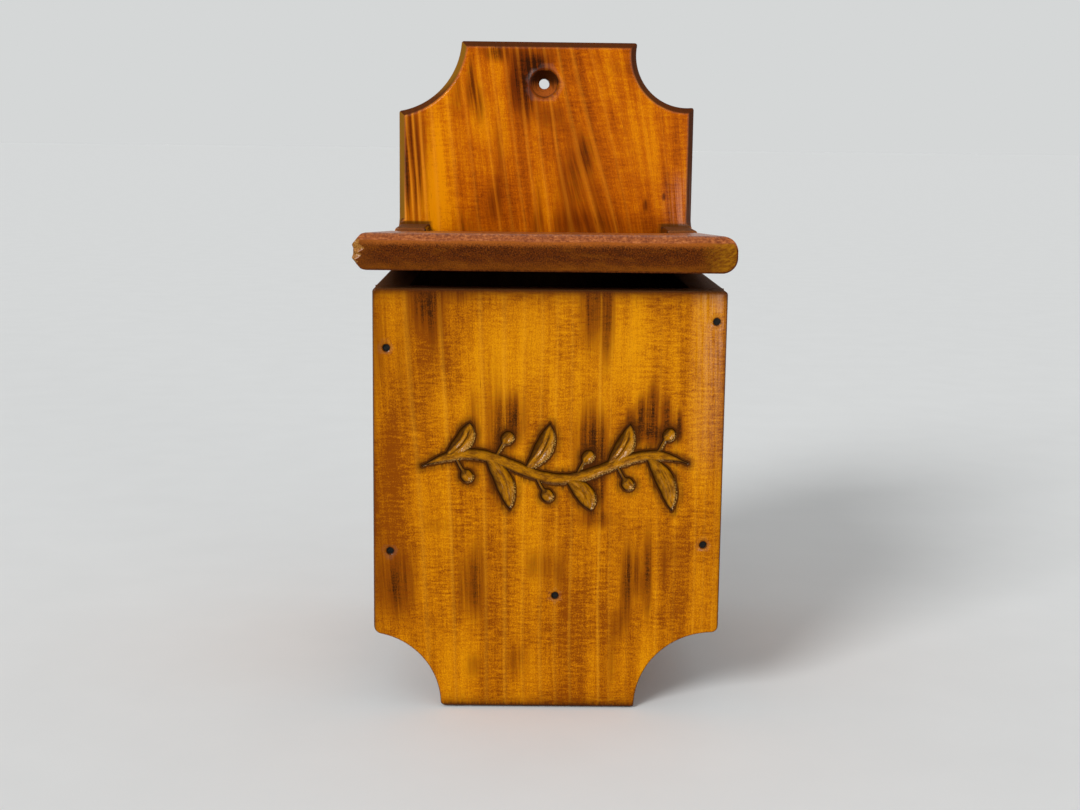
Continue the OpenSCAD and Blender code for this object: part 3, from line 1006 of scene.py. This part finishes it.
def front_wood():
    wood = Pine(
        "front_wood", "xzy", GOLDS_FRONT, FRONT_LINES, FRONT_BURNS, FRONT_GLOWS,
        lean=front_lean, ripple=1.0, line=0.5, seed=2.0,
    )
    f, a, b = wood.finish, wood.a, wood.b
    groove, edge, across, along = (f.mark(label) for label in ("groove", "edge", "across", "along"))

    # Darker towards the rims
    rim = ((a + HALF_W) * -0.7).raised() + ((a - HALF_W) * 1.2).raised()
    rim = rim + ((RIM_Z - b) * -0.34).raised() * 1.2
    rim = rim + ((APRON_Z - b) * 0.4).raised() * (wood.streak * 3.2)
    rim = rim * f.facing(1).between(0, -0.6, 0.2, 1)
    wood.darken((rim * (wood.pores * 1.2 + 0.4)).least(0.92), paint(74, 32, 2))

    # Floor of the carving: tool marks, specks, stain, painted shade on the walls turned away from the light
    # and a painted glint on those turned to it
    cut = groove.between(-0.01, 0.03)
    tooling = f.noise(across * 0.7, along * 0.2, 4, 3.0, 0.7)
    speckle = f.noise(wood.a * 1.3, wood.b * 1.3, 4, 3.0, 0.75)
    floor = f.mix(tooling.between(0.3, 0.65), paint(106, 60, 0), paint(170, 110, 0))
    floor = f.mix(speckle.between(0.52, 0.7) * 0.6, floor, paint(70, 36, 0))
    stain = groove.between(0.0, 0.55, 1.2, 0) * (tooling * 1.1 + 0.45)
    floor = f.mix(stain.least(1.0), floor, paint(40, 17, 0))
    # Painted shade on the groove walls that face right and down
    away = (f.facing(0) - f.facing(2) * 0.8).between(0.1, 0.6)
    floor = f.mix(away * 0.7, floor, paint(52, 24, 0))
    # Painted glint on the walls that face up and left; the same mask adds coat there
    lit = (f.facing(2) * 0.8 - f.facing(0)).between(0.35, 0.8) * speckle.between(0.45, 0.6)
    floor = f.mix(lit * 0.6, floor, paint(220, 166, 78))

    # Scorched surround of the carving
    near = groove.between(-0.24, 0.0) * 0.9 + groove.between(-1, -0.1) * (wood.streak * 1.8 - 0.3)
    wood.darken((near * (1 - cut) * (0.7 + wood.pores * 0.6)).least(0.95), paint(66, 30, 0))
    wood.darken(cut, floor)

    # Edges, painted shade on the inside of the box, and the end grain
    # Dark stain on the eased edges, darker on the faces turned down than on those turned sideways:
    # end-grain stain, and painted shade against the light bounced up from the floor
    thickness = f.facing(1).between(-0.4, 0.0) * f.facing(2).between(-0.5, -0.1)
    wood.darken(edge.between(0.03, 0.5) * (0.92 - thickness * 0.5), EDGE_BROWN)
    # Painted shade: the panel's inner face, between the side panels and above the bottom, is darkened as
    # the box's dark inside
    within = b.between(FOOT_Z, FOOT_Z + 4) * a.size().between(HALF_W - BOARD + 1, HALF_W - BOARD)
    wood.darken(f.facing(1).between(0.5, 0.9) * within * 0.9, INSIDE_PAINTED_SHADE)
    upward = wood.end_grain(0.9)

    # Varnish
    normal = f.bump(wood.grainy * (1 - cut) + wood.pale * 0.3 + tooling * cut * 0.4, 0.3, 0.0004)
    shine = cut * (groove.between(0.05, 0.3) * 0.08 + lit * 0.5)
    sheen = a.between(70, 82) * b.between(-215, -185) * wood.streak.between(0.3, 0.6) * 0.5
    turned = f.facing(0).between(0.3, 0) * f.facing(2).between(-0.3, 0)
    gloss = edge.between(0.03, 0.12) * edge.between(0.5, 0.25) * turned * 0.5 + shine + sheen
    return f.varnish(
        Base_Color=wood.colour, Roughness=0.34 - cut * 0.06 + upward * 0.3, Normal=normal,
        Coat_Weight=gloss * (1 - upward), Coat_Roughness=0.16, Specular_IOR_Level=VARNISH_LEVEL,
    )


def back_wood():
    wood = Pine(
        "back_wood", "xzy", GOLDS_BACK, BACK_LINES, BACK_BURNS, BACK_GLOWS,
        lean=back_lean, ripple=0.55, line=0.7, seed=5.0,
    )
    f, a, b = wood.finish, wood.a, wood.b
    edge = f.mark("edge")
    ahead = f.facing(1).between(-0.4, -0.8)
    in_front = f.y.between(-6, -9)

    # Stain round the hanging hole, and painted shade along the tops of the ears
    hole = ((a + MIDDLE_X) * (a + MIDDLE_X) + b * b) ** 0.5
    ragged = hole + f.noise(a * 0.35, b * 0.35, 2, 3.0, 0.7) * 3 - 1.5
    wood.darken(ragged.between(8.4, 11, 0.7, 0) * (wood.pores + 0.4) * in_front, GOLDS_BACK[4])
    # Painted shade: a dark band on the back board just above each ear's top, in the corner where the two
    # meet
    ear = a.size().between(HALF_W - BOARD - 3, HALF_W - BOARD + 1)
    wood.darken(ear * b.between(EAR_TOP + 1.2, EAR_TOP + 2.6, 0.85, 0) * ahead, paint(74, 42, 8))

    # Bevel, and the lip of the hanging hole
    bevel = edge.between(0.05, 0.3) * in_front + edge.between(0.3, 0.9) * (1 - in_front)
    brown = f.mix(wood.pores.between(0.3, 0.7) * 0.5, EDGE_BROWN, paint(92, 42, 10))
    brown = f.mix(f.facing(0).between(-0.45, -0.66), brown, paint(124, 84, 10))
    # The lip of the hanging hole is darker above and lighter below, with a streaky change: painted shade at
    # the top of the countersink and painted light on its lower part
    below = (b * -0.16 + wood.streak * 1.6 - 0.4).between(0, 1.2)
    lip = f.mix(below, paint(48, 20, 4), paint(158, 80, 26))
    lip = f.mix(wood.pores.between(0.5, 0.7) * 0.6, lip, paint(70, 30, 8))
    lip = f.mix((hole - 8.5).size().between(0.3, 1.0, 0.7, 0), lip, paint(46, 18, 4))
    brown = f.mix(hole.between(9.2, 9.8, 1, 0) * in_front, brown, lip)
    wood.darken(bevel * (0.95 - f.facing(1).between(-0.4, 0.0) * 0.45), brown)
    # Painted shade: the back board's face inside the box, and up to just above the rim under the lid, is
    # darkened
    wood.darken(b.between(RIM_Z - 1, RIM_Z + 8, 0.95, 0) * ahead, INSIDE_PAINTED_SHADE)

    # Varnish
    upward = f.upward()
    normal = f.bump(wood.grainy + wood.pale * 0.4, 0.25, 0.0004)
    line = edge.between(0, 0.05) * edge.between(0.1, 0.35, 0.6, 0.05) * hole.between(9, 10)
    sheen = a.between(70, 80) * b.between(-48, -70) * wood.streak.between(0.35, 0.6) * 0.5
    return f.varnish(
        Base_Color=wood.colour, Roughness=0.3 + upward * 0.3, Normal=normal,
        Coat_Weight=line * (1 - upward) + sheen, Coat_Roughness=0.16, Specular_IOR_Level=VARNISH_LEVEL,
    )


SIDE_LINES = tuple((-180 + 13 * k + 4 * math.sin(2.1 * k), 0.9, 0.4 + 0.2 * (k % 3)) for k in range(13))
SIDE_BURNS = (
    (-170, -150, 8, 30, 0.8), (-120, -200, 12, 26, 0.7), (-90, -140, 6, 26, 0.7), (-60, -230, 9, 32, 0.8),
    (-140, -262, 12, 16, 0.6), (-35, -130, 6, 26, 0.7), (-105, -275, 24, 9, 0.6), (-26, -200, 5, 50, 0.5),
)
SIDE_GLOWS = ((-150, -200, 14, 50, 0.25), (-70, -150, 16, 34, 0.25), (-110, -270, 60, 20, -0.2))


def side_wood():
    wood = Pine(
        "side_wood", "yzx", GOLDS_FRONT, SIDE_LINES, SIDE_BURNS, SIDE_GLOWS, ripple=0.8, line=0.8, seed=9.0,
    )
    f = wood.finish
    edge = f.mark("edge")
    ear = wood.b.between(RIM_Z + 3, RIM_Z + 8)
    tan = f.mix(wood.pores.between(0.3, 0.7), paint(98, 48, 18), EDGE_TAN)
    wood.darken(edge.between(0.1, 0.6) * 0.92, f.mix(ear, EDGE_BROWN, tan))
    upward = wood.end_grain(0.92)
    # Painted shade on the inner faces: near-black inside the box, dark brown on the ears' inner faces
    inner = wood.c.size().between(HALF_W - BOARD + 0.4, HALF_W - BOARD + 1.4, 0.95, 0)
    wood.darken(inner, f.mix(ear, INSIDE_PAINTED_SHADE, paint(66, 30, 4)))
    normal = f.bump(wood.grainy + wood.pale * 0.4, 0.3, 0.0004)
    return f.varnish(
        Base_Color=wood.colour, Roughness=0.3 + upward * 0.3, Normal=normal,
        Coat_Weight=edge.between(0, 0.3) * (1 - upward) * 0.3, Coat_Roughness=0.14,
        Specular_IOR_Level=VARNISH_LEVEL,
    )


def bottom_wood():
    lines = tuple((-80 + 12 * k, 0.9, 0.5) for k in range(14))
    burns = ((0, -100, 30, 30, 0.3), (-50, -150, 12, 30, 0.4))
    glows = ((0, -60, 40, 40, 0.1),)
    wood = Pine("bottom_wood", "xyz", GOLDS_FRONT, lines, burns, glows, ripple=0.6, line=0.8, seed=13.0)
    f = wood.finish
    # Painted shade: the bottom's upper face, inside the box, is darkened
    wood.darken(f.upward() * 0.9, INSIDE_PAINTED_SHADE)
    normal = f.bump(wood.grainy, 0.4, 0.0004)
    return f.varnish(Base_Color=wood.colour, Roughness=0.4, Normal=normal, Specular_IOR_Level=0.2)


def lid_wood():
    """Dark stained pine with its end grain on the front edge."""
    f = Finish("lid_wood")
    a, b, c = f.x - MIDDLE_X, f.y, f.z
    low = c - LID_FRONT_Z
    chip = f.mark("groove").between(-0.7, 0.0)
    bent = a + f.noise(a * 0.01, b * 0.006, 0.5, 1.0) * 12
    rings = bent * 0.13 + f.noise(bent * 0.05, b * 0.004, c * 0.03, 2.0) * 2.5
    ring = rings.part()
    streak = f.noise(bent * 0.9, b * 0.012, c * 0.9, 3.0, 0.6)
    fleck = f.noise(a * 0.4, b * 0.025, c * 1.5, 4.0, 0.7)
    on_top = b.between(-215, -205)
    upper = f.facing(2).between(0.1, 0.3)
    at_front = f.facing(1).between(-0.985, -0.93, 1, 0)

    # Top
    top = f.mix(streak.between(0.3, 0.7), paint(126, 60, 22), paint(172, 96, 44))
    top = f.mix(ring.between(0.7, 0.95) * on_top * 0.4, top, paint(176, 106, 50))
    top = f.mix(fleck.between(0.45, 0.66, 0, 0.6), top, paint(92, 38, 10))
    top = f.mix(fleck.between(0.45, 0.32, 0, 0.6), top, paint(206, 132, 74))

    # End grain of the front edge, golden at its right end, with a painted highlight along its top
    speck = f.noise(a * 1.4, b * 0.5, c * 1.5, 4.0, 0.8)
    sweep = f.noise(a * 0.09 + c * 0.22, 1.7, c * 0.2 - a * 0.05, 3.0, 0.65)
    end = f.mix(speck.between(0.38, 0.6), paint(42, 14, 0), paint(100, 44, 0))
    end = f.mix(sweep.between(0.5, 0.68) * 0.3, end, paint(122, 66, 4))
    end = f.mix(sweep.between(0.46, 0.32) * 0.35, end, paint(42, 16, 0))
    end = f.mix(low.between(-3, -9) * (sweep * 0.8), end, paint(126, 68, 6))
    # Painted highlight: an orange band along the top of the front face, under the rounding
    end = f.mix((low + speck * 5 - 2.5).between(2.2, 5.4) * 0.6, end, paint(176, 96, 32))
    end = f.mix(speck.between(0.6, 0.7) * 0.6, end, paint(146, 92, 34))
    swirl = f.noise(a * 0.3 + low * 0.3, 2.2, low * 0.9 - a * 0.4, 3.0, 0.6)
    gold_end = f.mix(swirl.between(0.3, 0.7), paint(106, 56, 2), paint(156, 102, 8))
    end = f.mix(a.between(74, 92) * 0.85, end, gold_end)
    end = f.mix(a.between(-100, -84, 0.45, 0), end, paint(104, 54, 10))

    # Underside, painted darker as shade, then the chips and the two ends
    under = f.mix(streak.between(0.3, 0.7), paint(66, 28, 4), paint(112, 56, 16))
    under = f.mix(ring.between(0.6, 0.95) * (on_top * 0.5), under, paint(52, 22, 4))
    colour = f.mix(upper, under, top)
    colour = f.mix(at_front, colour, end)
    raw = f.mix(speck.between(0.4, 0.62), paint(172, 122, 58), paint(116, 68, 20))
    colour = f.mix(chip * 0.85, colour, raw)
    colour = f.mix(f.facing(0).between(-0.3, -0.8) * 0.75, colour, paint(42, 20, 6))
    normal = f.bump(speck * 0.8 + streak * 0.4, 0.5, 0.0006)
    return f.varnish(
        Base_Color=colour, Roughness=0.32 + speck * 0.1, Normal=normal,
        Coat_Weight=(1 - at_front) * upper * 0.4, Coat_Roughness=0.22, Specular_IOR_Level=VARNISH_LEVEL,
    )


def nail_steel():
    f = Finish("nail_steel")
    worn = f.noise(f.x * 0.8, f.y * 0.8, f.z * 0.8, 4.0, 0.65)
    colour = f.mix(worn.between(0.35, 0.7), paint(5, 5, 4), paint(26, 23, 20))
    normal = f.bump(worn, 0.6, 0.0002)
    return f.varnish(Base_Color=colour, Roughness=0.35 + worn * 0.3, Normal=normal, Specular_IOR_Level=0.15)


# Setting

CAMERA_AT = Vector((-0.01463, -1.03542, -0.03257))
CAMERA_PITCH = math.radians(9.478)
CAMERA_YAW = math.radians(-0.801)
CAMERA_ROLL = math.radians(0.679)
CAMERA_LENS = 53.574
FLOOR_Z = -0.3362
FLOOR_HALF = 40
ROOM_GREY = (0.5, 0.5, 0.5, 1)
ROOM_SEEN = paint(213, 215, 215)


def make_camera():
    turn = Matrix.Rotation(CAMERA_YAW, 3, "Z")
    ahead = turn @ Vector((0, math.cos(CAMERA_PITCH), -math.sin(CAMERA_PITCH)))
    level = turn @ Vector((1, 0, 0))
    up = turn @ Vector((0, math.sin(CAMERA_PITCH), math.cos(CAMERA_PITCH)))
    right = level * math.cos(CAMERA_ROLL) + up * math.sin(CAMERA_ROLL)
    up = up * math.cos(CAMERA_ROLL) - level * math.sin(CAMERA_ROLL)
    data = bpy.data.cameras.new("camera")
    data.sensor_width, data.lens = 36, CAMERA_LENS
    camera = bpy.data.objects.new("camera", data)
    bpy.context.scene.collection.objects.link(camera)
    camera.matrix_world = Matrix.Translation(CAMERA_AT) @ Matrix((right, up, -ahead)).transposed().to_4x4()
    bpy.context.scene.camera = camera


def make_floor():
    f = Finish("floor_paint")
    grain = f.noise(f.x * 0.02, f.y * 0.02, 1.0, 3.0)
    colour = f.mix(grain, paint(228, 230, 230), paint(233, 235, 235))
    material = f.varnish(Base_Color=colour, Roughness=0.8, Specular_IOR_Level=0.1)
    mesh = bpy.data.meshes.new("floor")
    corners = [(-1, -1), (1, -1), (1, 1), (-1, 1)]
    mesh.from_pydata([(x * FLOOR_HALF, y * FLOOR_HALF, FLOOR_Z) for x, y in corners], [], [(0, 1, 2, 3)])
    floor = bpy.data.objects.new("floor", mesh)
    floor.data.materials.append(material)
    bpy.context.scene.collection.objects.link(floor)


def make_sun(name, towards, spread, strength):
    """A soft light from far away, in the direction given from the object."""
    data = bpy.data.lights.new(name, "SUN")
    data.angle, data.energy = math.radians(spread), strength
    lamp = bpy.data.objects.new(name, data)
    lamp.rotation_euler = Vector(towards).to_track_quat("Z", "Y").to_euler()
    bpy.context.scene.collection.objects.link(lamp)


def make_softbox(name, place, aim, width, height, spread, power):
    """A flat white light of a given size, aimed at a place and hidden from the camera."""
    data = bpy.data.lights.new(name, "AREA")
    data.shape, data.size, data.size_y, data.energy = "RECTANGLE", width, height, power
    data.spread = math.radians(spread)
    lamp = bpy.data.objects.new(name, data)
    lamp.location = place
    lamp.rotation_euler = (Vector(place) - Vector(aim)).to_track_quat("Z", "Y").to_euler()
    lamp.visible_camera = False
    bpy.context.scene.collection.objects.link(lamp)


def make_light():
    make_sun("window_left", towards=(-0.55, -0.74, 0.52), spread=22, strength=2.1)
    make_sun("window_right", towards=(0.55, -0.9, 0.12), spread=16, strength=0.35)
    make_softbox(
        "low_softbox", place=(0.36, -1.3, -0.19), aim=(0.05, -0.1, -0.15),
        width=0.26, height=0.24, spread=60, power=0.075,
    )
    world = bpy.data.worlds.new("room")
    bpy.context.scene.world = world
    world.use_nodes = True
    room = Nodes(world.node_tree)
    path = room.tree.nodes.new("ShaderNodeLightPath")
    rays = ("Is Camera Ray", "Is Glossy Ray", "Is Transmission Ray")
    direct, mirrored, through = (Tone(room, path.outputs[ray]) for ray in rays)
    shade = room.mix(direct.most(mirrored).most(through), ROOM_GREY, ROOM_SEEN)
    room.tree.links.new(shade.socket, room.tree.nodes["Background"].inputs["Color"])


def dress(piece, node, body, material):
    """Puts a detailed piece in a node's place."""
    piece.data.materials.append(material)
    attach(piece, body)
    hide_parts(node)


def coat_node(node, material):
    """Gives a kept CAD node its finish."""
    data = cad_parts[node].data
    data.materials.clear()
    data.materials.append(material)


make_camera()
dress(make_front_panel(), "front_panel", "box", front_wood())
dress(make_back_board(), "back_board", "box", back_wood())
sides = side_wood()
dress(make_side_panel(-1), "left_side_panel", "box", sides)
dress(make_side_panel(1), "right_side_panel", "box", sides)
dress(make_lid(), "lid", "lid", lid_wood())
coat_node("bottom_board", bottom_wood())
steel = nail_steel()
for nails in ("left_hinge_nail", "right_hinge_nail", "front_nails", "back_nails", "side_nails"):
    coat_node(nails, steel)
make_floor()
make_light()
bpy.context.scene.view_settings.view_transform = "Standard"
